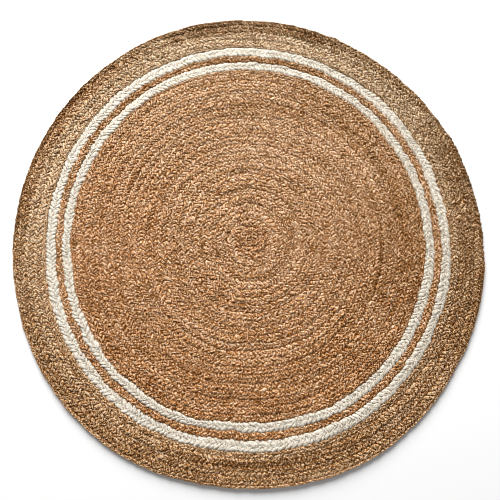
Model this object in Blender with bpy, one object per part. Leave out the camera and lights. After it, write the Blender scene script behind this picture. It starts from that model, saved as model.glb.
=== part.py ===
"""A round rug of flat jute braid, about 1.2 m across.

The rug lies on z = 0, with its origin at the middle of its underside. It is built as it is sewn: a long
jute braid coiled from the middle outward, a ring of bleached braid round it, one ring of jute braid, a second
ring of bleached braid, and a last jute braid in four turns as the border. Each of the five is one solid, with
the braids' rounded backs as ridges and the sewn seams between them as grooves.
"""

import math

import bmesh
import bpy

# Radii, from the middle outward, in metres
CENTRE_RADIUS = 0.4530
WHITE_INNER_WIDTH = 0.0232
JUTE_BETWEEN_WIDTH = 0.0176
WHITE_OUTER_WIDTH = 0.0242
RUG_RADIUS = 0.6000

# The braid's section, and how often each long braid goes round
BRAID_THICKNESS = 0.0090
SEAM_HEIGHT = 0.0062
SHOULDER_SHARE = 0.27
CENTRE_TURNS = 23
BORDER_TURNS = 4
START_KNOT_RADIUS = 0.0080
CLEARANCE = 0.0003

# Sewing by hand leaves the rug a little oval, with three low lobes, and its coil starts off the middle.
OVAL_SHARE = 0.0095
OVAL_AXIS = math.radians(101)
LOBE_SHARE = 0.0045
LOBE_AXIS = math.radians(-10)
COIL_START_X = 0.0140
COIL_START_Y = -0.0140

# Where the two long braids end, and how far each tapered tail pushes its edge out
CENTRE_TAIL_STEP = 44
CENTRE_TAIL_SWELL = 0.0060
BORDER_TAIL_STEP = 5
BORDER_TAIL_SWELL = 0.0040
TAIL_LENGTH = math.radians(80)
TAIL_DROP = math.radians(6)

# Facets: every piece has its corners on the same rays.
STEPS = 60
STEP_ANGLE = 2 * math.pi / STEPS

JUTE = (0.420, 0.235, 0.098)
BORDER_JUTE = (0.330, 0.200, 0.092)
BLEACHED_JUTE = (0.640, 0.600, 0.520)


def tail_swell(step, tail_step, swell):
    """How far a braid's tapered tail pushes its edge out on one ray."""
    lag = ((tail_step - step) % STEPS) * STEP_ANGLE
    if lag > TAIL_LENGTH:
        return 0.0
    if lag < TAIL_DROP:
        return swell * lag / TAIL_DROP
    return swell * (1 - (lag - TAIL_DROP) / (TAIL_LENGTH - TAIL_DROP)) ** 2


def hand_made(radius, step):
    """Moves a point of the ideal round rug to its place in the slightly uneven one."""
    angle = step * STEP_ANGLE
    oval = OVAL_SHARE * math.cos(2 * (angle - OVAL_AXIS))
    lobes = LOBE_SHARE * math.cos(3 * (angle - LOBE_AXIS))
    uneven = radius * (1 + oval + lobes)
    drift = max(0.0, 1 - radius / CENTRE_RADIUS)
    x = uneven * math.cos(angle) + COIL_START_X * drift
    y = uneven * math.sin(angle) + COIL_START_Y * drift
    return x, y


def centre_edge(step):
    """The outer edge of the coiled middle, which its tail pushes out."""
    return CENTRE_RADIUS + tail_swell(step, CENTRE_TAIL_STEP, CENTRE_TAIL_SWELL)


def white_inner_edge(step):
    return CENTRE_RADIUS + WHITE_INNER_WIDTH


def jute_between_edge(step):
    return white_inner_edge(step) + JUTE_BETWEEN_WIDTH


def white_outer_edge(step):
    return jute_between_edge(step) + WHITE_OUTER_WIDTH


def rug_edge(step):
    """The rug's outline, which the border's tail pushes out."""
    return RUG_RADIUS + tail_swell(step, BORDER_TAIL_STEP, BORDER_TAIL_SWELL)


def outline_middle():
    """The middle of the box that the uneven outline fills, which becomes the origin."""
    outline = [hand_made(rug_edge(step), step) for step in range(STEPS)]
    xs = [x for x, y in outline]
    ys = [y for x, y in outline]
    return (min(xs) + max(xs)) / 2, (min(ys) + max(ys)) / 2


def ring_lines(inner, outer):
    """Seam radii on each ray for one braid that closes on itself."""
    return [[inner(step) + CLEARANCE / 2, outer(step) - CLEARANCE / 2] for step in range(STEPS + 1)]


def coil_lines(inner, outer, turns, tail_step):
    """Seam radii on each ray for a braid wound in a spiral, from its tapered start to its tapered tail.

    The rays run once round from the tail. Each turn's outer seam on the last ray is the next turn's outer seam
    on the first, so the strip goes on without a break.
    """
    rays = []
    for step in range(STEPS + 1):
        ray = tail_step + step
        low = inner(ray) + CLEARANCE / 2 if inner else START_KNOT_RADIUS
        high = outer(ray) - CLEARANCE / 2
        winding = [turn + step / STEPS for turn in range(-1, turns + 1)]
        shares = [min(max(wound / turns, 0.0), 1.0) for wound in winding]
        rays.append([low + (high - low) * share for share in shares])
    return rays


def ray_section(lines, full_width, from_middle):
    """The upper surface along one ray, as (radius, height): seams, with two shoulders on each braid."""
    crown = BRAID_THICKNESS - SEAM_HEIGHT
    section = [(0.0, BRAID_THICKNESS)] if from_middle else []
    section.append((lines[0], SEAM_HEIGHT))
    for low, high in zip(lines, lines[1:]):
        width = high - low
        shoulder = SEAM_HEIGHT + crown * min(1.0, width / full_width)
        section.append((low + SHOULDER_SHARE * width, shoulder))
        section.append((high - SHOULDER_SHARE * width, shoulder))
        section.append((high, SEAM_HEIGHT))
    return section


def braid_solid(name, material, rays, first_step, full_width, from_middle=False):
    """One closed solid: the ridged upper surface, its outer and inner walls, and a flat underside."""
    shift_x, shift_y = outline_middle()
    mesh_data = bmesh.new()
    columns = []
    for step, lines in enumerate(rays):
        ray = (first_step + step) % STEPS
        section = ray_section(lines, full_width, from_middle)
        inner_foot = (section[0][0], 0.0)
        outer_foot = (section[-1][0], 0.0)
        loop = section + [outer_foot, inner_foot]
        column = []
        for radius, height in loop:
            x, y = hand_made(radius, ray)
            column.append(mesh_data.verts.new((x - shift_x, y - shift_y, height)))
        columns.append(column)
    corners = len(columns[0])
    spans = corners - 1 if from_middle else corners
    for left, right in zip(columns, columns[1:]):
        for index in range(spans):
            after = (index + 1) % corners
            mesh_data.faces.new((left[index], left[after], right[after], right[index]))
    bmesh.ops.remove_doubles(mesh_data, verts=mesh_data.verts, dist=0.00001)
    bmesh.ops.recalc_face_normals(mesh_data, faces=mesh_data.faces)
    mesh = bpy.data.meshes.new(name)
    mesh_data.to_mesh(mesh)
    mesh_data.free()
    mesh.materials.append(material)
    mesh.shade_smooth()
    mesh.set_sharp_from_angle(angle=math.radians(50))
    solid = bpy.data.objects.new(name, mesh)
    bpy.context.scene.collection.objects.link(solid)
    return solid


def braid_material(name, colour, roughness):
    material = bpy.data.materials.new(name)
    material.use_nodes = True
    shader = material.node_tree.nodes["Principled BSDF"]
    shader.inputs["Base Color"].default_value = (*colour, 1.0)
    shader.inputs["Roughness"].default_value = roughness
    shader.inputs["Metallic"].default_value = 0.0
    return material


def coiled_middle(material):
    """The long jute braid, coiled from its knot to the first bleached ring."""
    rays = coil_lines(None, centre_edge, CENTRE_TURNS, CENTRE_TAIL_STEP)
    full_width = CENTRE_RADIUS / CENTRE_TURNS
    return braid_solid("jute_centre", material, rays, CENTRE_TAIL_STEP, full_width, from_middle=True)


def closed_ring(name, material, inner, outer):
    """One braid sewn round once and joined end to end."""
    full_width = outer(0) - inner(0)
    return braid_solid(name, material, ring_lines(inner, outer), 0, full_width)


def border(material):
    """The last jute braid, in four turns from the outer bleached ring to the rug's edge."""
    rays = coil_lines(white_outer_edge, rug_edge, BORDER_TURNS, BORDER_TAIL_STEP)
    full_width = (RUG_RADIUS - white_outer_edge(0)) / BORDER_TURNS
    return braid_solid("jute_border", material, rays, BORDER_TAIL_STEP, full_width)


def main():
    for old in list(bpy.data.objects):
        bpy.data.objects.remove(old, do_unlink=True)
    jute = braid_material("jute", JUTE, 0.78)
    border_jute = braid_material("border_jute", BORDER_JUTE, 0.80)
    bleached = braid_material("bleached_jute", BLEACHED_JUTE, 0.74)
    coiled_middle(jute)
    closed_ring("white_ring_inner", bleached, centre_edge, white_inner_edge)
    closed_ring("jute_ring_between", jute, white_inner_edge, jute_between_edge)
    closed_ring("white_ring_outer", bleached, jute_between_edge, white_outer_edge)
    border(border_jute)


main()
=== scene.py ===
"""A round rug of flat jute braid with two bleached rings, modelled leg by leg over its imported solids.

Each braid is a closed band. Its surface follows three flattened strands that pass over and under one another,
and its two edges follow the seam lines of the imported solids, so every turn lies where the solid has it.
Lengths are in metres and angles in radians unless a name says otherwise.
"""

import math
from collections import Counter
from collections.abc import Callable
from dataclasses import dataclass

import bpy
import numpy as np
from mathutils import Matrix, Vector


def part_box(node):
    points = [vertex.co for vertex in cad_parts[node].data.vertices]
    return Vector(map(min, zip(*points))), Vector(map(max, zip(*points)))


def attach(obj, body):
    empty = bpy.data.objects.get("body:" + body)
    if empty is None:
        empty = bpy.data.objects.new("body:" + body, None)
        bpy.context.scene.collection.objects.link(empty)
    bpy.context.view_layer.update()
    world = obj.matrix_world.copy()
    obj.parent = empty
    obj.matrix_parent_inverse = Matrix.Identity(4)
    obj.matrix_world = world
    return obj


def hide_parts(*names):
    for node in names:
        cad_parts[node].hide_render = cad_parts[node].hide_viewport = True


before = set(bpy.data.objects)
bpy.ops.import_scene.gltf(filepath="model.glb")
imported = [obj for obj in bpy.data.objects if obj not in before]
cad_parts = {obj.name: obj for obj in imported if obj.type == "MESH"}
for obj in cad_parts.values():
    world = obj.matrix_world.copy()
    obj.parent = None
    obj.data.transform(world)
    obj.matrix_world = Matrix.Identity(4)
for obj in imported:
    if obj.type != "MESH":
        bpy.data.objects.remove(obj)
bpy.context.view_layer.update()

bl_info = {
    "name": "Round Braided Jute Rug",
    "version": (1, 0, 0),
    "blender": (4, 5, 0),
    "location": "View3D > Sidebar > Rug",
    "description": "Braids, bleached rings and stage for a round jute rug",
    "category": "Add Mesh",
}

BODY = "root"

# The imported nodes, from the middle outward
CENTRE_NODE = "jute_centre"
INNER_WHITE_NODE = "white_ring_inner"
BETWEEN_NODE = "jute_ring_between"
OUTER_WHITE_NODE = "white_ring_outer"
BORDER_NODE = "jute_border"
RAYS = 60
FOOT_HEIGHT = 0.0001
FOOT_DECIMALS = 6
CROWN_DECIMALS = 5
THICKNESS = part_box(CENTRE_NODE)[1][2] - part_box(CENTRE_NODE)[0][2]
MIDDLE_HEIGHT = THICKNESS / 2

# Where the two long braids end and the rings are joined, counter-clockwise from +X
CENTRE_TAIL = math.radians(264)
BORDER_TAIL = math.radians(30)
RING_SPLICE = math.radians(77)
FULL_TURN = 2 * math.pi

# Where the long braids start, in turns, and how far they run on past their last whole turn
CENTRE_START = -0.85
BORDER_START = 0.06
TAIL_RUN = 0.9

# The lattice that every braid is drawn on. A leg is one strand's way from a braid's edge to its middle. Its
# values run on for a few spare legs, which the places at the braid's very end read.
ROWS_PER_LEG = 6
HALF_LEG_ROWS = ROWS_PER_LEG // 2
LEGS_PER_PLAIT = 3
SPARE_LEGS = 2
SPARE_PLAITS = 2
ABOVE = np.array([-1.0, -0.81, -0.6, -0.4, -0.2, 0.0, 0.2, 0.4, 0.6, 0.81, 1.0])
BELOW = np.array([0.56, 0.0, -0.56])
ACROSS = np.concatenate([ABOVE, BELOW])
COLUMNS = len(ACROSS)
ON_TOP = np.arange(COLUMNS) < len(ABOVE)
OFF_EDGE = np.abs(ACROSS) < 1.0

# The right half's legs lie half a leg ahead of the left half's, and the two mix in a stripe down the middle.
RIGHT_LEAD = 0.5
MIDDLE_STRIPE = 0.3
RIGHT_SHARE = np.clip(0.5 + ACROSS / MIDDLE_STRIPE, 0, 1)
MIDDLE_SHARE = np.clip(1 - np.abs(ACROSS) / MIDDLE_STRIPE, 0, 1)

# One braid's section, for a braid 20 mm wide. Every other width is scaled from it.
NOMINAL_HALF_WIDTH = 0.0100
LEG_REACH = 0.68
RIDGE_CURVE = 1.15
LEG_ROUNDNESS = 0.0029
LEG_ROUND_MARGIN = 0.3
COLUMN_PLACES = (0.0, 0.2, 0.4, 0.6, 0.81, 1.0)
CREST_HEIGHTS = (0.0044, 0.0045, 0.0045, 0.0043, 0.0038, 0.0029)
CREASE_SHARES = (1.35, 1.35, 0.75, 0.60, 1.30, 1.25)
MIDLINE_ZIGZAG = 0.12
PLIES = 3
FLAT_HEIGHT = 0.0041
NARROW_FROM = 0.8
NARROWEST = 0.15
WHITE_RELIEF = 0.52
# Painted shade: the yarn's colour darkens from this depth in a crease, fully over this much more, and toward
# the seams by this share of how far the crest falls off
SHADE_FROM_DEPTH = 0.0010
SHADE_DEPTH_RANGE = 0.0028
SEAM_SHADE_SHARE = 0.6
STRAIGHT_END_LEGS = 3
MM_PER_METRE = 1000

# Seeds of each braid's random draws, for its tones and for its shape
CENTRE_SEEDS = (41, 42)
INNER_WHITE_SEEDS = (51, 61)
OUTER_WHITE_SEEDS = (52, 62)
BETWEEN_SEEDS = (71, 72)
BORDER_SEEDS = (81, 82)

# Slow changes along a braid: what is added to its seed, and over how many legs values stay alike
SWAY_DRAWS = (500, 1)
ROLL_DRAWS = (600, 22)
RISE_DRAWS = (700, 14)
LEAN_LIMIT = 0.0012
PITCH_REACH = 4
PITCH_LIMITS = (0.6, 1.5)

# Tones: spread from strand to strand, spread from leg to leg, and over how many plaits a strand stays alike
JUTE_TONES = (0.38, 0.6, 2)
WHITE_TONES = (0.4, 0.7, 5)
WARMTH_SPREAD = 0.5

# Short stretches of a braid that stand out, and long runs of it, each with its reach in legs
STRETCH_REACH = 7
STRETCH_THRESHOLD = 0.7
STRETCH_TONE = 1.3
RUN_REACH = 30
RUN_TONE = 0.8

# How seams drawn up by hand wander: shortest and longest wave, and the seeds for x and y
WAVE_COUNT = 24
DENSE_WAVE_COUNT = 40
WIDE_PULL = (0.05, 0.22)
WIDE_SEEDS = (11, 12)
TIGHT_PULL = (0.016, 0.05)
TIGHT_SEEDS = (13, 14)

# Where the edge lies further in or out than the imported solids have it: degrees from +X, reach, metres outward
NOMINAL_RADIUS = 0.60
EDGE_LOBES = ((-95, 26, -0.0065), (-57, 26, 0.0050), (14, 28, -0.0050))

# The outermost turns lie calmer than the rest: from this radius outward seams wander less and less.
CALM_RADIUS = 0.555
EDGE_CALM = 0.6

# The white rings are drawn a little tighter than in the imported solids, and to one side.
RING_RADIUS = 0.485
RING_REACH = 0.13
RING_TIGHTNESS = 0.0045
RING_SHIFT = (0.0012, -0.0010)

# How far the outermost braid's bare edge rounds down, over its outer half
BARE_EDGE_PLACES = (0.37, 0.62, 0.86, 1.0)
BARE_EDGE_DROPS = (0.0, 0.0004, 0.0018, 0.0044)
BARE_EDGE_START = 0.02
BARE_EDGE_BULGE = 0.6

# How the rug's edge stands off the floor: most at the front, and in low waves all round
LIFT_START = 0.50
LIFT_REACH = 0.10
LIFT_MIDDLE = math.radians(-82)
LIFT_SPREAD = math.radians(38)
LIFT_WAVES = 5
LIFT_WAVE_SHARE = 0.12
LIFT_WAVE_PHASE = 1.0

# Faces that meet at more than this are shaded with a crease between them.
SHARP_ANGLE = math.radians(52)

# The baking map's lanes: their margin, and the way round a braid's section in half widths
LANE_MARGIN = 0.02
SECTION_ROUND = 4.4

# Where fibres are read, stretched along and across the braid, and moved aside for its underside
FIBRE_ALONG = 0.7
FIBRE_ACROSS = 1.3
FIBRE_BELOW = 0.5


# ---- Seam lines and the courses that braids follow ----


class Loop:
    """A closed line round the rug through one point on each ray, read at any number of turns."""

    def __init__(self, points):
        self.points = np.asarray(points, dtype=float)

    def at(self, turns):
        place = (np.asarray(turns) % 1.0) * len(self.points)
        left = np.floor(place).astype(int)
        share = (place - left)[..., None]
        before, start, end, after = (self.points[(left + k) % len(self.points)] for k in (-1, 0, 1, 2))
        slope_start = (end - before) / 2
        slope_end = (after - start) / 2
        rise = share * share * (3 - 2 * share)
        hill_start = share * (1 - share) ** 2
        hill_end = -share * share * (1 - share)
        return start + rise * (end - start) + hill_start * slope_start + hill_end * slope_end


def foot_points(node):
    """The node's corners on the floor, as (x, y)."""
    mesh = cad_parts[node].data
    corners = np.empty(len(mesh.vertices) * 3)
    mesh.vertices.foreach_get("co", corners)
    corners = corners.reshape(-1, 3)
    on_floor = corners[corners[:, 2] < FOOT_HEIGHT]
    return np.unique(np.round(on_floor[:, :2], FOOT_DECIMALS), axis=0)


def by_ray(points):
    """Points sorted counter-clockwise, from the one nearest +X."""
    angles = np.arctan2(points[:, 1], points[:, 0])
    half_ray = math.pi / RAYS
    return points[np.argsort((angles + half_ray) % FULL_TURN)]


def edge_loops(node):
    """The inner and the outer edge of a ring-shaped node."""
    points = foot_points(node)
    angles = np.arctan2(points[:, 1], points[:, 0])
    rays = np.round(angles / FULL_TURN * RAYS).astype(int) % RAYS
    inner = []
    outer = []
    for ray in range(RAYS):
        on_ray = points[rays == ray]
        order = np.argsort(np.hypot(on_ray[:, 0], on_ray[:, 1]))
        inner.append(on_ray[order[0]])
        outer.append(on_ray[order[-1]])
    return Loop(inner), Loop(outer)


def coil_middle():
    """Where the long braid's coil starts: the crown corner in which a whole fan of faces meets."""
    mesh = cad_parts[CENTRE_NODE].data
    corners = [mesh.vertices[loop.vertex_index].co for loop in mesh.loops]
    at_crown = [corner for corner in corners if corner.z > THICKNESS - FOOT_HEIGHT]
    places = [(round(corner.x, CROWN_DECIMALS), round(corner.y, CROWN_DECIMALS)) for corner in at_crown]
    return np.array(Counter(places).most_common(1)[0][0])


@dataclass
class Course:
    """The way of one braid: its two edges at any amount of winding, in turns from its start ray."""

    inner_loop: Loop
    outer_loop: Loop
    start_angle: float
    inner_share: Callable
    outer_share: Callable
    first: float
    last: float

    def edges(self, winding):
        turns = self.start_angle / FULL_TURN + winding
        inner = self.inner_loop.at(turns)
        outer = self.outer_loop.at(turns)
        low = self.inner_share(winding)[..., None]
        high = self.outer_share(winding)[..., None]
        return inner + (outer - inner) * low, inner + (outer - inner) * high

    def measured(self, samples_a_turn=720):
        """Samples of the braid's middle line: its winding, and the length up to there."""
        count = int(samples_a_turn * (self.last - self.first)) + 1
        winding = np.linspace(self.first, self.last, count)
        low, high = self.edges(winding)
        middle = (low + high) / 2
        steps = np.linalg.norm(np.diff(middle, axis=0), axis=1)
        return winding, np.concatenate([[0.0], np.cumsum(steps)])


def ring_course(node):
    """One round that closes on itself."""
    inner, outer = edge_loops(node)
    return Course(inner, outer, RING_SPLICE, np.zeros_like, np.ones_like, 0.0, 1.0)


def coil_course(inner, outer, start_angle, turns, start_share, first):
    """A spiral whose turns lie edge to edge, from the middle of the knot or from an inner edge."""

    def seam(winding):
        knot = start_share * np.clip(1 + winding, 0, 1)
        return knot + (1 - start_share) * np.clip(winding / turns, 0, 1)

    return Course(inner, outer, start_angle, lambda winding: seam(winding - 1), seam, first, turns + TAIL_RUN)


# ---- The plait: heights of a three-strand braid, and how uneven hand work makes it ----


def strand_slant(across):
    """How far ahead of the braid's edge a leg's ridge is there, in legs."""
    return LEG_REACH * (1 - np.abs(across) ** RIDGE_CURVE)


def plait_heights(crease_depth, ply_depth):
    """For each row of a leg and each column: height over the braid's middle plane, and depth in a crease, which
    sets how much painted shade darkens the yarn there.
    """
    row = np.arange(ROWS_PER_LEG)[:, None]
    past_ridge = np.where(ACROSS > 0, row, (row + HALF_LEG_ROWS) % ROWS_PER_LEG)
    from_ridge = np.minimum(past_ridge, ROWS_PER_LEG - past_ridge)
    at_middle = np.where(row % HALF_LEG_ROWS == 0, HALF_LEG_ROWS, 1)
    from_ridge = np.where(ACROSS == 0, at_middle, from_ridge)
    crest = np.interp(np.abs(ACROSS), COLUMN_PLACES, CREST_HEIGHTS)
    share = np.interp(np.abs(ACROSS), COLUMN_PLACES, CREASE_SHARES)
    round_back = 1 - np.sqrt(1 - (from_ridge / (HALF_LEG_ROWS + LEG_ROUND_MARGIN)) ** 2)
    depth = LEG_ROUNDNESS * round_back
    depth = depth + np.where(from_ridge == HALF_LEG_ROWS, crease_depth, 0.0)
    depth = depth + np.where(from_ridge == 1, ply_depth, 0.0)
    raised = np.where(ON_TOP, crest - depth * share, depth * share - crest)
    # Depth that sets the painted shade, deeper toward the seams
    shade_depth = depth * share + SEAM_SHADE_SHARE * (CREST_HEIGHTS[1] - crest)
    return raised, np.where(ON_TOP, shade_depth, 0.0)


def rolling(points, seed, reaches, count):
    """A smooth uneven field over the rug, with a spread of about 1 and waves between two lengths."""
    rng = np.random.default_rng(seed)
    lengths = np.exp(rng.uniform(math.log(reaches[0]), math.log(reaches[1]), count))
    angles = rng.uniform(0, FULL_TURN, count)
    vectors = np.stack([np.cos(angles), np.sin(angles)], axis=1) * (FULL_TURN / lengths)[:, None]
    phases = rng.uniform(0, FULL_TURN, count)
    total = np.zeros(points.shape[:-1])
    for vector, phase in zip(vectors, phases):
        total += np.sin(points @ vector + phase)
    return total * math.sqrt(2 / count)


def polar(points):
    """Distance from the middle in metres, and the angle from +X in degrees."""
    return np.hypot(points[..., 0], points[..., 1]), np.degrees(np.arctan2(points[..., 1], points[..., 0]))


def degrees_off(angle, middle):
    """How far an angle is from another, in degrees."""
    return np.abs((angle - middle + 180) % 360 - 180)


def hill(distance, reach):
    """A smooth hill: 1 at no distance, and 0 from its reach outward."""
    return 0.5 + 0.5 * np.cos(np.clip(distance / reach, 0, 1) * math.pi)


def lobed(points):
    """Draws the rug's rings in or out a little where the seams were drawn tighter or looser."""
    radius, angle = polar(points)
    stretch = np.ones_like(radius)
    for middle, reach, outward in EDGE_LOBES:
        stretch += outward * hill(degrees_off(angle, middle), reach) * radius / NOMINAL_RADIUS ** 2
    near_rings = hill(np.abs(radius - RING_RADIUS), RING_REACH)
    stretch -= RING_TIGHTNESS * near_rings
    return points * stretch[..., None] + near_rings[..., None] * np.array(RING_SHIFT)


def hand_pull(points, amount, tight_amount):
    """Moves points a little sideways, as seams drawn up by hand wander, widely and stitch by stitch."""
    wide = np.stack([rolling(points, seed, WIDE_PULL, WAVE_COUNT) for seed in WIDE_SEEDS], axis=-1)
    tight = np.stack([rolling(points, seed, TIGHT_PULL, DENSE_WAVE_COUNT) for seed in TIGHT_SEEDS], axis=-1)
    calm = 1 - EDGE_CALM * np.clip((polar(points)[0] - CALM_RADIUS) / (NOMINAL_RADIUS - CALM_RADIUS), 0, 1)
    return lobed(points) + (amount * wide + tight_amount * tight) * calm[..., None]


def lift(flat, amount):
    """How far the rug's edge stands off the floor, in a few long low waves."""
    radius = np.hypot(flat[..., 0], flat[..., 1])
    angle = np.arctan2(flat[..., 1], flat[..., 0])
    near_edge = np.clip((radius - LIFT_START) / LIFT_REACH, 0, 1) ** 2
    from_front = np.abs((angle - LIFT_MIDDLE + math.pi) % FULL_TURN - math.pi)
    raised_front = hill(from_front, LIFT_SPREAD)
    low_waves = LIFT_WAVE_SHARE + LIFT_WAVE_SHARE * np.sin(LIFT_WAVES * angle + LIFT_WAVE_PHASE)
    return amount * near_edge * (raised_front + low_waves * (1 - raised_front))


def smoothed_draws(rng, count, reach):
    """Random numbers of spread 1 whose neighbours up to reach apart are alike."""
    kernel = np.hanning(2 * reach + 3)[1:-1]
    draws = rng.normal(size=count + len(kernel) - 1)
    return np.convolve(draws, kernel, "valid") / math.sqrt((kernel ** 2).sum())


def leg_numbers(in_legs):
    """Which leg of the right half, and which of the left half, lies at each place along a braid."""
    return np.floor(in_legs + RIGHT_LEAD).astype(int), np.floor(in_legs).astype(int)


def halves(right, left):
    """Values for the whole width of a braid from those of its two halves, mixed in the middle."""
    return right * RIGHT_SHARE + left * (1 - RIGHT_SHARE)


class BraidLooks:
    """How uneven a braid is: its random draws, and how much its strands and legs differ in tone."""

    def __init__(self, seeds, tones):
        self.shared = np.random.default_rng(seeds[0])
        self.shape_seed = seeds[1]
        self.strand_tone, self.leg_tone, self.strand_reach = tones


class Legs:
    """One side of a braid's legs, each with its own tone, warmth, height, place and width."""

    def __init__(self, rng, count, looks, first_strand):
        leg = np.arange(count)
        strand_of_leg = (leg + first_strand) % LEGS_PER_PLAIT
        plait_of_leg = leg // LEGS_PER_PLAIT
        plaits = count // LEGS_PER_PLAIT + SPARE_PLAITS
        tone = np.empty((count, PLIES))
        warmth = np.empty((count, PLIES))
        for strand in range(LEGS_PER_PLAIT):
            mine = strand_of_leg == strand
            for ply in range(PLIES):
                tones = smoothed_draws(looks.shared, plaits, looks.strand_reach)
                hues = smoothed_draws(looks.shared, plaits, looks.strand_reach)
                tone[mine, ply] = tones[plait_of_leg[mine]]
                warmth[mine, ply] = hues[plait_of_leg[mine]]
        stretches = smoothed_draws(looks.shared, count, STRETCH_REACH)
        stretches = np.sign(stretches) * np.maximum(np.abs(stretches) - STRETCH_THRESHOLD, 0)
        runs = smoothed_draws(looks.shared, count, RUN_REACH)
        tone = tone + (STRETCH_TONE * stretches + RUN_TONE * runs)[:, None]
        self.tone = looks.strand_tone * tone + looks.leg_tone * rng.normal(size=tone.shape)
        hue = looks.strand_tone * warmth + looks.leg_tone * rng.normal(size=warmth.shape)
        self.warmth = WARMTH_SPREAD * hue
        self.height = rng.normal(size=count)
        self.place = rng.normal(size=count)
        self.width = rng.normal(size=count)


class Band:
    """A braid's lattice: points, and what the finish reads from them."""

    def __init__(self, course, sizes, pitch, looks, closed, overlap, scallop, relief=1.0, bare_from=None):
        self.course = course
        self.closed = closed
        self.overlap = overlap
        self.scallop = scallop
        self.relief = relief
        self.bare_from = bare_from
        winding, length = course.measured()
        self.length = length[-1]
        legs = self.length / pitch
        self.legs = LEGS_PER_PLAIT * round(legs / LEGS_PER_PLAIT) if closed else round(legs)
        self.pitch = self.length / self.legs
        self.rows = np.arange(ROWS_PER_LEG * self.legs + 1)
        self.in_legs = self.rows / ROWS_PER_LEG
        self.seed = looks.shape_seed
        rng = np.random.default_rng(self.seed)
        self.right = Legs(rng, self.legs + SPARE_LEGS, looks, first_strand=0)
        self.left = Legs(rng, self.legs + SPARE_LEGS, looks, first_strand=2)
        self.sway, self.roll, self.rise = map(self.slow_draws, (SWAY_DRAWS, ROLL_DRAWS, RISE_DRAWS))
        if closed:
            for values in (self.sway, self.roll, self.rise):
                values[self.legs:] = values[:SPARE_LEGS]
            for side in (self.right, self.left):
                for values in (side.tone, side.warmth, side.height, side.place, side.width):
                    values[self.legs:] = values[:SPARE_LEGS]
        self.lay_out(winding, length, sizes, rng)

    def slow_draws(self, draws):
        """One value a leg that changes slowly along the braid."""
        added_seed, reach = draws
        return smoothed_draws(np.random.default_rng(self.seed + added_seed), self.legs + SPARE_LEGS, reach)

    def along(self, values, lead=0.0):
        """One value a leg, read at each row of the lattice so that it changes evenly between legs."""
        return np.interp(self.in_legs + lead, np.arange(len(values)), values)[:, None]

    def spread(self, right_values, left_values):
        """One value a leg, read at each point of the lattice: each half reads its own side's legs."""
        right_leg, left_leg = leg_numbers(self.in_legs)
        return halves(right_values[right_leg][:, None], left_values[left_leg][:, None])

    def lay_out(self, winding, length, sizes, rng):
        """Places the lattice's points, and works out what the finish reads there."""
        wrapped = self.wound_at(winding, length, sizes)
        low, high = self.course.edges(wrapped)
        width = np.linalg.norm(high - low, axis=-1)
        bare = np.zeros_like(wrapped)
        if self.bare_from is not None:
            bare = np.clip((wrapped - self.bare_from) / BARE_EDGE_START, 0, 1) * (ACROSS > 0)
        middle = (low + high) / 2
        flat = middle + (high - middle) * self.uneven_across(sizes, bare)[..., None]
        flat = hand_pull(flat, sizes.seam_wander, sizes.stitch_wander)
        raised, sunk = self.strand_heights(width, sizes, rng)
        raised = raised - np.where(ON_TOP, bare * np.interp(ACROSS, BARE_EDGE_PLACES, BARE_EDGE_DROPS), 0.0)
        settled = np.maximum(MIDDLE_HEIGHT + raised + self.lean(sizes), 0.0)
        self.points = np.concatenate([flat, (settled + lift(flat, sizes.edge_lift))[..., None]], axis=-1)
        # Painted shade: how far the yarn's colour is darkened in creases, seams and hollows, from their depth
        self.hollow = np.clip((sunk * math.sqrt(self.relief) - SHADE_FROM_DEPTH) / SHADE_DEPTH_RANGE, 0, 1)
        self.swell = raised * MM_PER_METRE
        lengthwise = self.in_legs[:, None] * self.pitch * FIBRE_ALONG
        sideways = ACROSS * NOMINAL_HALF_WIDTH * FIBRE_ACROSS
        side = np.where(ON_TOP, 0.0, FIBRE_BELOW)
        self.fibre = np.stack(np.broadcast_arrays(lengthwise, sideways, side), axis=-1)

    def wound_at(self, winding, length, sizes):
        """How far the braid has wound at each point of the lattice, in turns."""
        slant = np.where(ON_TOP, strand_slant(ACROSS), -strand_slant(ACROSS)) * self.end_ease()
        legs = self.in_legs[:, None] + slant + self.leg_shift(sizes.leg_wander)
        along = self.uneven_length(legs, sizes.pitch_wander)
        if self.closed:
            whole = np.floor(along / self.length)
            return np.interp(along - whole * self.length, length, winding) + whole
        return np.interp(np.clip(along, 0, self.length), length, winding)

    def end_ease(self):
        """Near a braid's cut ends its strands run straight, so that the lattice ends square."""
        if self.closed:
            return 1.0
        from_end = np.minimum(self.in_legs, self.legs - self.in_legs)
        return np.clip(from_end / STRAIGHT_END_LEGS, 0, 1)[:, None]

    def leg_shift(self, wander):
        """How far each crease between two legs has slid along the braid, in legs."""
        shift = wander * halves(self.along(self.right.place, RIGHT_LEAD), self.along(self.left.place))
        return shift * self.end_ease()

    def uneven_length(self, legs, wander):
        """The length up to a number of legs, with legs drawn now longer, now tighter."""
        draws = smoothed_draws(np.random.default_rng(self.seed), self.legs, PITCH_REACH)
        steps = np.clip(1 + wander * draws, *PITCH_LIMITS)
        steps = steps * self.length / steps.sum()
        up_to = np.concatenate([[0.0], np.cumsum(steps)])
        whole = np.floor(legs / self.legs)
        return np.interp(legs - whole * self.legs, np.arange(self.legs + 1), up_to) + whole * self.length

    def uneven_across(self, sizes, bare):
        """Place across the braid, from -1 to 1, with each strand's turn as a bulge in the edge."""
        turn = np.cos(FULL_TURN * self.in_legs)[:, None]
        ridge = np.where(ACROSS > 0, turn, -turn)
        bulge = 1 + self.overlap - self.scallop * (1 - ridge) / 2
        bulge = bulge + sizes.edge_unevenness * self.spread(self.right.width, self.left.width)
        bulge = 1 + (bulge - 1) * (1 - BARE_EDGE_BULGE * bare)
        outward = ACROSS ** 2
        zigzag = -MIDLINE_ZIGZAG * turn * MIDDLE_SHARE
        sway = sizes.midline_wander * self.along(self.sway) * (1 - outward)
        return ACROSS * (1 + (bulge - 1) * outward) + zigzag + sway

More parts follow.
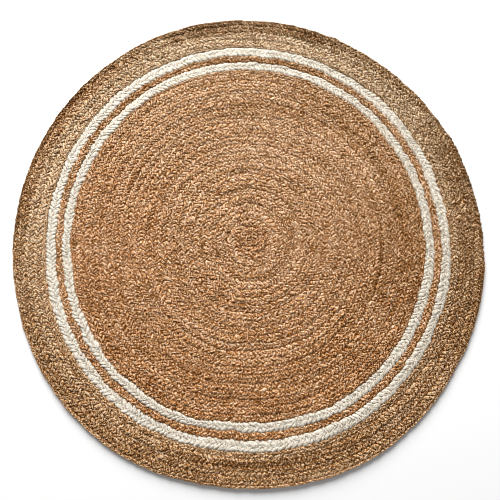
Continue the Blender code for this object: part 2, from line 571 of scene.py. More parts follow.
    def strand_heights(self, width, sizes, rng):
        """Heights over the braid's middle plane, and depths in the hollows between legs, which set the painted
        shade there.
        """
        pattern, sunk = plait_heights(sizes.crease_depth, sizes.ply_depth)
        row_of_leg = self.rows % ROWS_PER_LEG
        scale = 1 + sizes.leg_unevenness * self.spread(self.right.height, self.left.height)
        grain = rng.normal(size=scale.shape) * sizes.strand_roughness * OFF_EDGE
        raised = pattern[row_of_leg] * scale + grain
        narrow = np.clip(width / (sizes.full_width * NARROW_FROM), NARROWEST, 1)
        narrow = narrow * np.where(OFF_EDGE, self.relief, 1.0)
        flattened = np.sign(raised) * (FLAT_HEIGHT - (FLAT_HEIGHT - np.abs(raised)) * narrow)
        return np.where(ON_TOP, flattened, raised), sunk[row_of_leg] * scale

    def lean(self, sizes):
        """How far the braid's top leans and stands up over long runs."""
        uneven = sizes.braid_roll * self.along(self.roll) * ACROSS + sizes.braid_rise * self.along(self.rise)
        return np.where(ON_TOP, np.clip(uneven, -LEAN_LIMIT, LEAN_LIMIT), 0.0)


# ---- Meshes ----


def short_diagonals(corners, column):
    """Turns the corners of the left half's quads, so that each splits across the way its strand runs."""
    turned = np.roll(corners, -1, axis=1)
    on_left = (ACROSS[column] < 0) & ON_TOP[column]
    shape = (-1,) + (1,) * (corners.ndim - 1)
    return np.where(on_left.reshape(shape), turned, corners)


def band_quads(steps, whole_ring):
    """The corners of the lattice's faces, row by row and round the braid's section."""
    row = np.arange(steps)[:, None]
    after = (row + 1) % steps if whole_ring else row + 1
    column = np.arange(COLUMNS)
    beside = (column + 1) % COLUMNS
    near = [row * COLUMNS + column, row * COLUMNS + beside]
    far = [after * COLUMNS + beside, after * COLUMNS + column]
    quads = np.stack(near + far, axis=-1).reshape(-1, 4)
    return short_diagonals(quads, np.tile(column, steps))


def closed_mesh(name, points, quads, caps):
    """A mesh of the quads and of the caps at a braid's cut ends."""
    loops = np.concatenate([quads.reshape(-1), *caps])
    cap_starts = quads.size + COLUMNS * np.arange(len(caps))
    starts = np.concatenate([np.arange(0, quads.size, 4), cap_starts])
    mesh = bpy.data.meshes.new(name)
    mesh.vertices.add(len(points))
    mesh.vertices.foreach_set("co", points.reshape(-1))
    mesh.loops.add(len(loops))
    mesh.loops.foreach_set("vertex_index", loops.astype(np.int32))
    mesh.polygons.add(len(starts))
    mesh.polygons.foreach_set("loop_start", starts.astype(np.int32))
    mesh.update(calc_edges=True)
    mesh.validate()
    return mesh


def leg_colours(band, row, column):
    """Tone and warmth of each face, from the leg and the ply that it lies on."""
    on_right = ACROSS[column] + ACROSS[(column + 1) % COLUMNS] > 0
    right_leg, left_leg = leg_numbers((row + 0.5) / ROWS_PER_LEG)
    right_ply = (row + HALF_LEG_ROWS) % ROWS_PER_LEG * PLIES // ROWS_PER_LEG
    left_ply = row % ROWS_PER_LEG * PLIES // ROWS_PER_LEG
    tone = np.where(on_right, band.right.tone[right_leg, right_ply], band.left.tone[left_leg, left_ply])
    warm_right = band.right.warmth[right_leg, right_ply]
    return tone, np.where(on_right, warm_right, band.left.warmth[left_leg, left_ply])


def add_values(mesh, name, domain, values):
    """Stores a number on each of the mesh's faces or points."""
    layer = mesh.attributes.new(name, "FLOAT", domain)
    layer.data.foreach_set("value", values.astype(np.float32))


def add_bake_map(mesh, row, column, steps, band, caps):
    """A map for baking: lanes of equal length cut from the band, each with its top beside its underside."""
    piece_length = steps / ROWS_PER_LEG * band.pitch
    both_sides = SECTION_ROUND * NOMINAL_HALF_WIDTH
    lanes = max(1, round(math.sqrt(piece_length / both_sides)))
    rows_a_lane = math.ceil(steps / lanes)
    lane = row // rows_a_lane
    step = 1 / (rows_a_lane + 1)
    start = (row - lane * rows_a_lane) / (rows_a_lane + 1)
    above = len(ABOVE) - 1
    below = COLUMNS - above
    side_low = np.where(column < above, column / above, (column - above) / below)
    side_high = np.where(column < above, (column + 1) / above, (column + 1 - above) / below)
    base = np.where(column < above, LANE_MARGIN, 0.5 + LANE_MARGIN)
    reach = 0.5 - 2 * LANE_MARGIN
    low = (lane + base + reach * side_low) / lanes
    high = (lane + base + reach * side_high) / lanes
    u = np.stack([start, start, start + step, start + step], axis=1)
    v = np.stack([low, high, high, low], axis=1)
    corners = short_diagonals(np.stack([u, v], axis=-1), column).reshape(-1, 2)
    corners = np.concatenate([corners, np.zeros((caps * COLUMNS, 2))])
    layer = mesh.uv_layers.new(name="OFBake")
    layer.uv.foreach_set("vector", corners.reshape(-1).astype(np.float32))


def band_piece(name, band, first_leg, last_leg, finish, tint):
    """One closed piece of the band's legs from first_leg to last_leg."""
    first = first_leg * ROWS_PER_LEG
    steps = (last_leg - first_leg) * ROWS_PER_LEG
    kept = slice(first, first + steps + (0 if band.closed else 1))
    points = band.points[kept].reshape(-1, 3)
    section = np.arange(COLUMNS)
    quads = band_quads(steps, band.closed)
    caps = [] if band.closed else [section[::-1], section + steps * COLUMNS]
    mesh = closed_mesh(name, points, quads, caps)

    row = np.repeat(np.arange(steps), COLUMNS)
    column = np.tile(section, steps)
    tone, warmth = leg_colours(band, row + first, column)
    tone_tint, warmth_tint = tint(points[quads].mean(axis=1)[:, :2])
    on_caps = np.zeros(len(caps))
    add_values(mesh, "tone", "FACE", np.concatenate([tone + tone_tint, on_caps]))
    add_values(mesh, "warmth", "FACE", np.concatenate([warmth + warmth_tint, on_caps]))
    add_values(mesh, "hollow", "POINT", band.hollow[kept].reshape(-1))
    add_values(mesh, "swell", "POINT", band.swell[kept].reshape(-1))
    fibre = mesh.attributes.new("fibre", "FLOAT_VECTOR", "POINT")
    fibre.data.foreach_set("vector", band.fibre[kept].reshape(-1))
    add_bake_map(mesh, row, column, steps, band, len(caps))

    mesh.shade_smooth()
    mesh.set_sharp_from_angle(angle=SHARP_ANGLE)
    mesh.materials.append(finish)
    piece = bpy.data.objects.new(name, mesh)
    bpy.context.scene.collection.objects.link(piece)
    return piece


# ---- Finishes ----

# Noise for streaks of fibre, in grains a metre along a strand and across it, and for fuzz and patches of hue
COARSE_STREAKS = (430.0, 300.0, 1.0)
FINE_STREAKS = (3200.0, 260.0, 1.0)
FUZZ_GRAIN = (330.0, 330.0, 330.0)
HUE_PATCHES = (45.0, 45.0, 45.0)
COARSE_DETAIL = 3.0
NOISE_DETAIL = 2.0
NOISE_ROUGHNESS = 0.55

# What each noise adds to the tone, to the hue and to the relief
COARSE_TONE = 0.7
FINE_TONE = 0.5
FUZZ_TONE = 1.6
LEG_HUE = 0.4
PATCH_HUE = 1.2
COARSE_RELIEF = 0.6
FINE_RELIEF = 0.4
FUZZ_RELIEF = 0.9
SWELL_RELIEF = 0.6
BUMP_STRENGTH = 0.65
BUMP_DISTANCE = 0.001
ROUGHNESS_SPREAD = 0.24
SPECULAR_LEVEL = 0.05
# Painted shade: where along the depth the crease's tint is fully reached, and the colour where no shade is
# painted
CREASE_SHADE_STOP = 0.6
UNSHADED = (1.0, 1.0, 1.0)


class Value:
    """A number that varies over a surface, so that shader maths reads as Python."""

    def __init__(self, finish, socket):
        self.finish = finish
        self.socket = socket

    def maths(self, operation, first, second):
        node = self.finish.node("ShaderNodeMath", {"operation": operation}, {0: first, 1: second})
        return Value(self.finish, node.outputs[0])

    def __add__(self, other):
        return self.maths("ADD", self, other)

    def __radd__(self, other):
        return self.maths("ADD", other, self)

    def __sub__(self, other):
        return self.maths("SUBTRACT", self, other)

    def __rsub__(self, other):
        return self.maths("SUBTRACT", other, self)

    def __mul__(self, other):
        return self.maths("MULTIPLY", self, other)

    def __rmul__(self, other):
        return self.maths("MULTIPLY", other, self)

    def at_most(self, other):
        return self.maths("MINIMUM", self, other)

    def at_least(self, other):
        return self.maths("MAXIMUM", self, other)


class Finish:
    """A material under construction."""

    def __init__(self, name, roughness):
        self.material = bpy.data.materials.new(name)
        self.material.use_nodes = True
        self.tree = self.material.node_tree
        self.shader = self.tree.nodes["Principled BSDF"]
        self.shader.inputs["Metallic"].default_value = 0.0
        self.shader.inputs["Roughness"].default_value = roughness
        self.shader.inputs["Specular IOR Level"].default_value = SPECULAR_LEVEL

    def node(self, kind, settings, inputs):
        """Adds a node: its settings first, then the values or links of its sockets."""
        made = self.tree.nodes.new(kind)
        for setting, value in settings.items():
            if setting == "stops":
                self.set_stops(made.color_ramp, value)
            else:
                setattr(made, setting, value)
        for key, value in inputs.items():
            self.feed(made.inputs[key], value)
        return made

    def set_stops(self, ramp, stops):
        while len(ramp.elements) < len(stops):
            ramp.elements.new(0.5)
        for element, (position, colour) in zip(ramp.elements, stops):
            element.position = position
            element.color = (*colour, 1.0)

    def feed(self, socket, value):
        """Links a value to a socket, or sets the socket to a plain number or colour."""
        if isinstance(value, Value):
            value = value.socket
        if isinstance(value, bpy.types.NodeSocket):
            self.tree.links.new(value, socket)
        elif socket.type == "RGBA":
            socket.default_value = (*value, 1.0)
        else:
            socket.default_value = value

    def value(self, name):
        """A number stored on the mesh."""
        return Value(self, self.node("ShaderNodeAttribute", {"attribute_name": name}, {}).outputs["Fac"])

    def place(self, name):
        """A vector stored on the mesh."""
        return self.node("ShaderNodeAttribute", {"attribute_name": name}, {}).outputs["Vector"]

    def stretched_noise(self, place, stretch, detail):
        """Noise whose grains are drawn out along some axes."""
        spread = self.node("ShaderNodeVectorMath", {"operation": "MULTIPLY"}, {0: place, 1: stretch})
        inputs = {"Vector": spread.outputs[0], "Scale": 1.0, "Detail": detail, "Roughness": NOISE_ROUGHNESS}
        return Value(self, self.node("ShaderNodeTexNoise", {}, inputs).outputs["Fac"])

    def ramp(self, value, stops):
        return self.node("ShaderNodeValToRGB", {"stops": stops}, {"Fac": value}).outputs["Color"]

    def mixed(self, share, first, second, blend="MIX"):
        settings = {"data_type": "RGBA", "blend_type": blend}
        return self.node("ShaderNodeMix", settings, {"Factor": share, 6: first, 7: second}).outputs[2]


def yarn_finish(name, look):
    """Braided yarn: toned legs, streaks of fibre along each strand, and painted shade that darkens the creases
    and hollows between the legs.
    """
    finish = Finish(name, look.roughness)
    along = finish.place("fibre")
    coarse = finish.stretched_noise(along, COARSE_STREAKS, COARSE_DETAIL)
    fine = finish.stretched_noise(along, FINE_STREAKS, NOISE_DETAIL)
    spot = finish.node("ShaderNodeTexCoord", {}, {}).outputs["Object"]
    fuzz = finish.stretched_noise(spot, FUZZ_GRAIN, NOISE_DETAIL)
    patch = finish.stretched_noise(spot, HUE_PATCHES, NOISE_DETAIL)
    fibres = COARSE_TONE * (coarse - 0.5) + FINE_TONE * (fine - 0.5) + FUZZ_TONE * (fuzz - 0.5)
    level = 0.5 + look.leg_contrast * finish.value("tone") + look.fibre_contrast * fibres
    cool = finish.ramp(level, [(0.0, look.cool_dark), (0.5, look.cool_mid), (1.0, look.cool_light)])
    warm = finish.ramp(level, [(0.0, look.warm_dark), (0.5, look.warm_mid), (1.0, look.warm_light)])
    hue = 0.5 + LEG_HUE * finish.value("warmth") + PATCH_HUE * (patch - 0.5)
    blended = finish.mixed(hue.at_least(0.0).at_most(1.0), cool, warm)
    # Painted shade: the yarn's colour is multiplied darker and more saturated with depth in creases and hollows
    shade_stops = [(0.0, UNSHADED), (CREASE_SHADE_STOP, look.crease), (1.0, look.hollow)]
    shaded = finish.mixed(1.0, blended, finish.ramp(finish.value("hollow"), shade_stops), "MULTIPLY")
    finish.feed(finish.shader.inputs["Base Color"], shaded)
    relief = COARSE_RELIEF * coarse + FINE_RELIEF * fine + FUZZ_RELIEF * fuzz
    relief = relief + SWELL_RELIEF * finish.value("swell")
    bump_inputs = {"Strength": BUMP_STRENGTH, "Distance": BUMP_DISTANCE, "Height": relief}
    bump = finish.node("ShaderNodeBump", {}, bump_inputs)
    finish.feed(finish.shader.inputs["Normal"], bump.outputs["Normal"])
    rough = look.roughness - ROUGHNESS_SPREAD / 2 + ROUGHNESS_SPREAD * coarse
    finish.feed(finish.shader.inputs["Roughness"], rough)
    return finish.material


def get_finish(name, look):
    """The finish of that name, made once."""
    return bpy.data.materials.get(name) or yarn_finish(name, look)


# ---- What a user can change ----

# Four kinds of property: a colour, a plain number, a length in metres and a number of whole turns


def shade(name, description, colour):
    return bpy.props.FloatVectorProperty(
        name=name, description=description, default=colour, min=0.0, max=1.0, subtype="COLOR"
    )


def number(name, description, value):
    return bpy.props.FloatProperty(name=name, description=description, default=value, min=0.0)


def size(name, description, value):
    return bpy.props.FloatProperty(
        name=name, description=description, default=value, min=0.0, subtype="DISTANCE"
    )


def rounds(name, description, value):
    return bpy.props.IntProperty(name=name, description=description, default=value, min=1)


def yarn_look(cool, warm, crease, hollow, fibre_contrast, leg_contrast, roughness):
    """One yarn's properties: dark, middle and light colours of its cooler and warmer fibres, the tints of its
    painted shade in creases and hollows, and its feel.
    """
    properties = {}
    for hue, colours in (("cool", cool), ("warm", warm)):
        for level, colour in zip(("dark", "mid", "light"), colours):
            label = f"{hue.title()} {level}"
            description = f"{level.title()} colour of the {hue}er fibres"
            properties[f"{hue}_{level}"] = shade(label, description, colour)
    # Painted shade: the tints that darken the creases between strands and the deepest hollows
    properties["crease"] = shade("Crease", "Tint of the creases between two strands", crease)
    properties["hollow"] = shade("Hollow", "Tint of the deepest hollows", hollow)
    properties["fibre_contrast"] = number("Fibre contrast", "How much single fibres differ", fibre_contrast)
    properties["leg_contrast"] = number("Strand contrast", "How much strands differ", leg_contrast)
    properties["roughness"] = number("Roughness", "Roughness of the yarn", roughness)
    return properties


class JuteLook(bpy.types.PropertyGroup):
    """The jute of the middle and of the ring between the white ones"""

    __annotations__ = yarn_look(
        cool=((0.108, 0.036, 0.004), (0.450, 0.252, 0.106), (0.810, 0.615, 0.455)),
        warm=((0.118, 0.032, 0.002), (0.490, 0.242, 0.089), (0.825, 0.595, 0.420)),
        # Painted shade in creases and hollows
        crease=(0.940, 0.600, 0.180),
        hollow=(0.340, 0.100, 0.004),
        fibre_contrast=2.1,
        leg_contrast=0.13,
        roughness=0.60,
    )


class BorderLook(bpy.types.PropertyGroup):
    """The greyer jute of the border"""

    __annotations__ = yarn_look(
        cool=((0.080, 0.035, 0.008), (0.339, 0.208, 0.102), (0.750, 0.600, 0.425)),
        warm=((0.092, 0.031, 0.004), (0.375, 0.198, 0.079), (0.770, 0.575, 0.385)),
        # Painted shade in creases and hollows
        crease=(0.930, 0.620, 0.240),
        hollow=(0.330, 0.115, 0.008),
        fibre_contrast=2.3,
        leg_contrast=0.13,
        roughness=0.62,
    )


class BleachedLook(bpy.types.PropertyGroup):
    """The bleached jute of the two white rings"""

    __annotations__ = yarn_look(
        cool=((0.270, 0.240, 0.190), (0.650, 0.594, 0.504), (0.870, 0.835, 0.765)),
        warm=((0.290, 0.220, 0.150), (0.673, 0.588, 0.470), (0.885, 0.820, 0.715)),
        # Painted shade in creases and hollows
        crease=(0.740, 0.690, 0.620),
        hollow=(0.240, 0.180, 0.120),
        fibre_contrast=1.5,
        leg_contrast=0.08,
        roughness=0.74,
    )


class RugSizes(bpy.types.PropertyGroup):
    """Sizes of the braids, and how uneven hand work has made them"""

    centre_turns: rounds("Centre turns", "Turns of the long jute braid", 23)
    border_turns: rounds("Border turns", "Turns of the border's braid", 4)
    start_knot: size("Start knot", "Radius of the coil's first curl", 0.008)
    centre_leg: size("Centre leg", "Length of braid to one leg", 0.0110)
    inner_white_leg: size("Inner white leg", "Length of braid to one leg", 0.0119)
    between_leg: size("Between leg", "Length of braid to one leg", 0.0112)
    outer_white_leg: size("Outer white leg", "Length of braid to one leg", 0.0126)
    border_leg: size("Border leg", "Length of braid to one leg", 0.0114)
    full_width: size("Braid width", "Width of a whole braid", 0.0197)
    flat_width: size("Flat width", "Width of a whole braid before it is sewn", 0.0210)
    inner_white_width: size("Inner white width", "Width of the inner white braid", 0.0232)
    outer_white_width: size("Outer white width", "Width of the outer white braid", 0.0242)
    crease_depth: size("Crease depth", "Extra depth between two legs", 0.0010)
    ply_depth: size("Ply depth", "Depth between two yarns of a strand", 0.0004)
    seam_overlap: number("Seam overlap", "How far neighbours press into each other", 0.12)
    edge_scallop: number("Edge scallop", "Depth of the bulges in an edge", 0.12)
    white_overlap: number("White overlap", "How far white braids lie over their neighbours", 0.08)
    white_scallop: number("White scallop", "Depth of the bulges in a white edge", 0.07)
    edge_unevenness: number("Edge unevenness", "Spread of the bulges in an edge", 0.03)
    seam_wander: size("Seam wander", "How far seams wander", 0.0010)
    stitch_wander: size("Stitch wander", "How far single stitches pull", 0.0008)
    midline_wander: number("Middle wander", "How far a braid's middle line sways, in half widths", 0.12)
    pitch_wander: number("Pitch wander", "Spread of the legs' lengths along the braid", 0.12)
    leg_wander: number("Leg wander", "How unevenly legs follow, in legs", 0.20)
    leg_unevenness: number("Leg unevenness", "Spread of the legs' heights", 0.14)
    strand_roughness: size("Strand roughness", "Small bumps on strands", 0.00008)
    braid_roll: size("Braid roll", "How far a braid leans over long runs", 0.0006)
    braid_rise: size("Braid rise", "How far a braid stands up over long runs", 0.0004)
    edge_lift: size("Edge lift", "How far the edge stands up in places", 0.0015)


class StageLook(bpy.types.PropertyGroup):
    """The floor and the light that the rug is shown in"""

    floor: shade("Floor", "Colour of the floor", (0.93, 0.93, 0.93))
    fill: number("Fill", "Strength of the light from all round", 0.27)
    key_power: bpy.props.FloatProperty(
        name="Key light", description="Power of the soft light behind the rug", default=580.0, subtype="POWER"
    )


# ---- Where the yarn is darker, lighter, redder or greyer ----

# An arc's ends fade over a share of its reach, and its sides over a few millimetres.
ARC_END_FADE = 0.35
ARC_SIDE_FADE = 0.006

# Small mottled patches. Jute is redder at the left and at the front, and white is painted paler at the left, as
# painted light falling from there.
CENTRE_MOTTLE_SEED = 31
BORDER_MOTTLE_SEED = 32
BETWEEN_MOTTLE_SEED = 33
MOTTLE_TONE = 0.2
MOTTLE_REACHES = (0.02, 0.08)
LEFT_WARMTH = 0.2
FRONT_WARMTH = 1.5
LEFT_WHITE_PAINTED_LIGHT = 0.9
BETWEEN_TONE = -0.5

# The redder swirl at the very middle, darkened by painted shade where its turns lie lower, the pale turn round
# it as a painted highlight on its lit step, and a warm knot in the yarn not far from there
SWIRL_MIDDLE = (0.009, -0.012)
SWIRL_RADIUS = 0.046
SWIRL_FADE = 0.006
SWIRL_SHADE = -0.7
SWIRL_WARMTH = 0.6
LIT_RIM_RADIUS = 0.051
LIT_RIM_REACH = 0.004
LIT_RIM_HIGHLIGHT = 1.2
KNOT_MIDDLE = (-0.053, 0.076)
KNOT_REACH = (0.012, 0.008)
KNOT_FULLNESS = 1.6
KNOT_TONE = 1.2
KNOT_WARMTH = 3.5


@dataclass
class Arc:
    """A stretch of the rug whose jute differs in tone and warmth: radii in metres, angles in degrees."""

    inner: float
    outer: float
    middle: float
    reach: float
    tone: float
    warmth: float

    def share(self, radius, angle):
        """How much of the arc lies at each point, from 0 to 1, with soft ends and sides."""
        along = np.clip((self.reach - degrees_off(angle, self.middle)) / (ARC_END_FADE * self.reach), 0, 1)
        under_outer = np.clip((self.outer - radius) / ARC_SIDE_FADE + 0.5, 0, 1)
        over_inner = np.clip((radius - self.inner) / ARC_SIDE_FADE + 0.5, 0, 1)
        return along * (under_outer * over_inner)


CENTRE_ARCS = [
    Arc(0.050, 0.240, 100, 85, 0.35, 0.0),
    Arc(0.355, 0.460, 45, 30, -0.7, -0.2),
    Arc(0.330, 0.460, -4, 28, -1.3, -0.3),
    Arc(0.260, 0.340, -30, 40, -0.4, 0.0),
    Arc(0.355, 0.460, -38, 20, -0.6, 0.0),
    Arc(0.340, 0.460, -75, 40, -0.7, 0.2),
    Arc(0.230, 0.460, 178, 36, -0.3, 0.9),
    Arc(0.345, 0.365, 82, 34, -0.9, 0.2),
    Arc(0.340, 0.460, 222, 35, -0.5, 0.6),
]

BETWEEN_ARCS = [
    Arc(0.400, 0.560, 95, 45, -0.8, 0.4),
    Arc(0.400, 0.560, 270, 40, -0.6, 0.6),
    Arc(0.400, 0.560, 180, 35, 0.6, 0.0),
]

BORDER_ARCS = [
    Arc(0.562, 0.640, 88, 24, -2.0, 0.8),
    Arc(0.580, 0.640, 122, 30, -1.4, 0.8),
    Arc(0.582, 0.640, 160, 28, -2.0, 0.2),
    Arc(0.510, 0.565, 138, 66, 1.2, 0.0),
    Arc(0.562, 0.592, 150, 30, -0.2, 2.0),
    Arc(0.562, 0.640, 196, 34, -0.5, 0.4),
    Arc(0.510, 0.640, 15, 40, -0.5, 0.0),
    Arc(0.510, 0.562, 60, 30, 0.9, -1.4),
    Arc(0.570, 0.640, 50, 40, -1.3, 0.5),
    Arc(0.530, 0.640, -4, 32, -1.2, 0.4),
    Arc(0.538, 0.558, 276, 28, -1.6, 2.0),
    Arc(0.558, 0.590, 275, 34, -0.8, 0.2),
    Arc(0.510, 0.562, 218, 26, 0.4, 0.0),
    Arc(0.585, 0.640, 250, 50, -0.6, 0.0),
    Arc(0.585, 0.640, 282, 26, 0.8, 0.0),
]


def arcs_tint(points, arcs, seed):
    """What jute braids add to tone and warmth at each point of the rug."""
    radius, angle = polar(points)
    tone = MOTTLE_TONE * rolling(points, seed, MOTTLE_REACHES, DENSE_WAVE_COUNT)
    warmth = -(LEFT_WARMTH * points[:, 0] + FRONT_WARMTH * points[:, 1]) / NOMINAL_RADIUS
    for arc in arcs:
        share = arc.share(radius, angle)
        tone = tone + arc.tone * share
        warmth = warmth + arc.warmth * share
    return tone, warmth


def white_tint(points):
    """What the bleached braids add to tone and warmth: painted light, paler toward the left."""
    # Painted light: the white is lightened toward the left
    return -LEFT_WHITE_PAINTED_LIGHT * points[:, 0] / NOMINAL_RADIUS, 0.0


def centre_tint(points):
    """The middle's arcs, with the swirl darkened by painted shade, the painted highlight of the lit rim round
    it, and the knot near its start.
    """
    tone, warmth = arcs_tint(points, CENTRE_ARCS, CENTRE_MOTTLE_SEED)
    from_swirl = np.linalg.norm(points - np.array(SWIRL_MIDDLE), axis=1)
    from_knot = np.linalg.norm((points - np.array(KNOT_MIDDLE)) / np.array(KNOT_REACH), axis=1)
    swirl = np.clip((SWIRL_RADIUS - from_swirl) / SWIRL_FADE, 0, 1)
    lit_rim = np.clip(1 - np.abs(from_swirl - LIT_RIM_RADIUS) / LIT_RIM_REACH, 0, 1)
    knot = np.clip(KNOT_FULLNESS - from_knot, 0, 1)
    # Painted shade darkens the swirl's lower turns and a painted highlight lightens the lit turn round them
    tone = tone + SWIRL_SHADE * swirl + LIT_RIM_HIGHLIGHT * lit_rim + KNOT_TONE * knot
    warmth = warmth + SWIRL_WARMTH * swirl + KNOT_WARMTH * knot
    return tone, warmth


def between_tint(points):
    tone, warmth = arcs_tint(points, BETWEEN_ARCS, BETWEEN_MOTTLE_SEED)
    return tone + BETWEEN_TONE, warmth


def border_tint(points):
    return arcs_tint(points, BORDER_ARCS, BORDER_MOTTLE_SEED)


# ---- Operators ----

# The stage. The camera stands a little in front of the rug and looks almost straight down.
FLOOR_REACH = 12.0
FLOOR_DROP = 0.0002
FLOOR_ROUGHNESS = 0.9
FILL_COLOUR = (1.0, 1.0, 1.0, 1.0)
KEY_SIZE = 3.8
KEY_PLACE = (-0.80, 4.25, 2.50)
SENSOR_WIDTH_MM = 36.0
LENS_MM = 36.0
CAMERA_TILT = math.radians(10.0)
CAMERA_DISTANCE = 1.2645
CAMERA_TARGET = (0.0040, -0.0348, 0.0)
PIXEL_FILTER_WIDTH = 1.0


def add_pieces(names, band, node, finish, tint):
    """Cuts a braid into one piece for each name, joins each to the body and hides the node that they replace.
    """
    cuts = [round(band.legs * part / len(names)) for part in range(len(names) + 1)]
    for name, first, last in zip(names, cuts, cuts[1:]):
        piece = band_piece(name, band, first, last, finish, tint)
        length = (last - first) * band.pitch
        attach(piece, BODY)
        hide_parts(node)


def jute_band(sizes, course, leg, seeds, closed, bare_from=None):
    """A jute braid's lattice, with edges that press into their neighbours."""
    looks = BraidLooks(seeds, JUTE_TONES)
    edges = (sizes.seam_overlap, sizes.edge_scallop)
    return Band(course, sizes, leg, looks, closed, *edges, bare_from=bare_from)


class RUG_OT_centre_coil(bpy.types.Operator):
    """Adds the long jute braid, coiled from its knot to the inner white ring"""

    bl_idname = "rug.centre_coil"
    bl_label = "Centre Coil"

    def execute(self, context):
        sizes = context.scene.rug_sizes
        points = by_ray(foot_points(CENTRE_NODE))
        outer = Loop(points)
        middle = coil_middle()
        inner = Loop(np.broadcast_to(middle, points.shape))
        start_share = sizes.start_knot / np.linalg.norm(points - middle, axis=1).mean()
        course = coil_course(inner, outer, CENTRE_TAIL, sizes.centre_turns, start_share, CENTRE_START)
        band = jute_band(sizes, course, sizes.centre_leg, CENTRE_SEEDS, closed=False)
        names = ["centre_coil_start", "centre_coil_middle", "centre_coil_outer"]
        finish = get_finish("braided_jute", context.scene.rug_jute)
        add_pieces(names, band, CENTRE_NODE, finish, centre_tint)
        return {"FINISHED"}


class RUG_OT_white_rings(bpy.types.Operator):
    """Adds the two rings of bleached braid"""

    bl_idname = "rug.white_rings"
    bl_label = "White Rings"

    def execute(self, context):
        sizes = context.scene.rug_sizes
        finish = get_finish("braided_bleached_jute", context.scene.rug_bleached)
        edges = (sizes.white_overlap, sizes.white_scallop)
        inner = (INNER_WHITE_NODE, INNER_WHITE_SEEDS, sizes.inner_white_leg, sizes.inner_white_width)
        outer = (OUTER_WHITE_NODE, OUTER_WHITE_SEEDS, sizes.outer_white_leg, sizes.outer_white_width)
        for name, ring in (("inner_white_braid", inner), ("outer_white_braid", outer)):
            node, seeds, leg, width = ring
            looks = BraidLooks(seeds, WHITE_TONES)
            band = Band(ring_course(node), sizes, leg, looks, True, *edges, relief=WHITE_RELIEF)
            add_pieces([name], band, node, finish, white_tint)
        return {"FINISHED"}


class RUG_OT_between_ring(bpy.types.Operator):
    """Adds the single ring of jute braid between the white rings"""

    bl_idname = "rug.between_ring"
    bl_label = "Ring Between"

    def execute(self, context):
        sizes = context.scene.rug_sizes
        band = jute_band(sizes, ring_course(BETWEEN_NODE), sizes.between_leg, BETWEEN_SEEDS, closed=True)
        finish = get_finish("braided_jute", context.scene.rug_jute)
        add_pieces(["jute_braid_between"], band, BETWEEN_NODE, finish, between_tint)
        return {"FINISHED"}


class RUG_OT_border(bpy.types.Operator):
    """Adds the border, the last jute braid in four turns"""

    bl_idname = "rug.border"
    bl_label = "Border"

    def execute(self, context):
        sizes = context.scene.rug_sizes
        inner, outer = edge_loops(BORDER_NODE)
        course = coil_course(inner, outer, BORDER_TAIL, sizes.border_turns, 0.0, BORDER_START)
        bare_from = sizes.border_turns
        band = jute_band(sizes, course, sizes.border_leg, BORDER_SEEDS, closed=False, bare_from=bare_from)
        names = ["border_inner_turns", "border_outer_turns"]
        finish = get_finish("braided_border_jute", context.scene.rug_border_jute)
        add_pieces(names, band, BORDER_NODE, finish, border_tint)
        return {"FINISHED"}


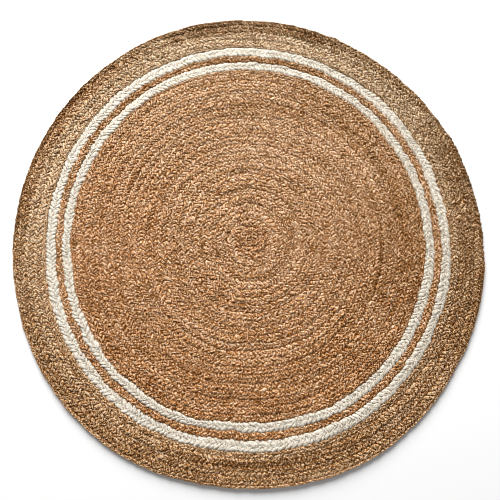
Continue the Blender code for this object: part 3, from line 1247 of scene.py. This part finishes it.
class RUG_OT_stage(bpy.types.Operator):
    """Adds the floor, the soft light and the camera"""

    bl_idname = "rug.stage"
    bl_label = "Stage"

    def execute(self, context):
        scene = context.scene
        scene.view_settings.view_transform = "Standard"
        scene.cycles.filter_width = PIXEL_FILTER_WIDTH
        self.add_floor(scene)
        self.add_light(scene)
        self.add_camera(scene)
        return {"FINISHED"}

    def add_floor(self, scene):
        mesh = bpy.data.meshes.new("floor")
        near, far = -FLOOR_REACH, FLOOR_REACH
        mesh.from_pydata([(near, near, 0), (far, near, 0), (far, far, 0), (near, far, 0)], [], [(0, 1, 2, 3)])
        floor = bpy.data.objects.new("floor", mesh)
        floor.location.z = -FLOOR_DROP
        scene.collection.objects.link(floor)
        finish = Finish("floor", FLOOR_ROUGHNESS)
        finish.feed(finish.shader.inputs["Base Color"], tuple(scene.rug_stage.floor))
        mesh.materials.append(finish.material)

    def add_light(self, scene):
        world = bpy.data.worlds.new("studio")
        world.use_nodes = True
        background = world.node_tree.nodes["Background"]
        background.inputs["Color"].default_value = FILL_COLOUR
        background.inputs["Strength"].default_value = scene.rug_stage.fill
        scene.world = world
        key = bpy.data.lights.new("key", "AREA")
        key.shape = "DISK"
        key.size = KEY_SIZE
        key.energy = scene.rug_stage.key_power
        lamp = bpy.data.objects.new("key", key)
        lamp.location = Vector(KEY_PLACE)
        lamp.rotation_euler = (-lamp.location).to_track_quat("-Z", "Y").to_euler()
        scene.collection.objects.link(lamp)

    def add_camera(self, scene):
        data = bpy.data.cameras.new("camera")
        data.sensor_width = SENSOR_WIDTH_MM
        data.lens = LENS_MM
        camera = bpy.data.objects.new("camera", data)
        backward = Vector((0, -math.sin(CAMERA_TILT), math.cos(CAMERA_TILT)))
        camera.location = Vector(CAMERA_TARGET) + CAMERA_DISTANCE * backward
        camera.rotation_euler = (CAMERA_TILT, 0.0, 0.0)
        scene.collection.objects.link(camera)
        scene.camera = camera


class RUG_PT_panel(bpy.types.Panel):
    """Lists the rug's operators in the sidebar"""

    bl_idname = "RUG_PT_panel"
    bl_label = "Rug"
    bl_space_type = "VIEW_3D"
    bl_region_type = "UI"
    bl_category = "Rug"

    def draw(self, context):
        for operator in OPERATORS:
            self.layout.operator(operator.bl_idname)


GROUPS = {
    "rug_jute": JuteLook,
    "rug_border_jute": BorderLook,
    "rug_bleached": BleachedLook,
    "rug_sizes": RugSizes,
    "rug_stage": StageLook,
}
OPERATORS = [RUG_OT_centre_coil, RUG_OT_white_rings, RUG_OT_between_ring, RUG_OT_border, RUG_OT_stage]
CLASSES = [*GROUPS.values(), *OPERATORS, RUG_PT_panel]


def register():
    for cls in CLASSES:
        bpy.utils.register_class(cls)
    for name, group in GROUPS.items():
        setattr(bpy.types.Scene, name, bpy.props.PointerProperty(type=group))


def unregister():
    for name in GROUPS:
        delattr(bpy.types.Scene, name)
    for cls in reversed(CLASSES):
        bpy.utils.unregister_class(cls)


def main():
    register()
    bpy.ops.rug.centre_coil()
    bpy.ops.rug.white_rings()
    bpy.ops.rug.between_ring()
    bpy.ops.rug.border()
    bpy.ops.rug.stage()


if __name__ == "__main__":
    main()
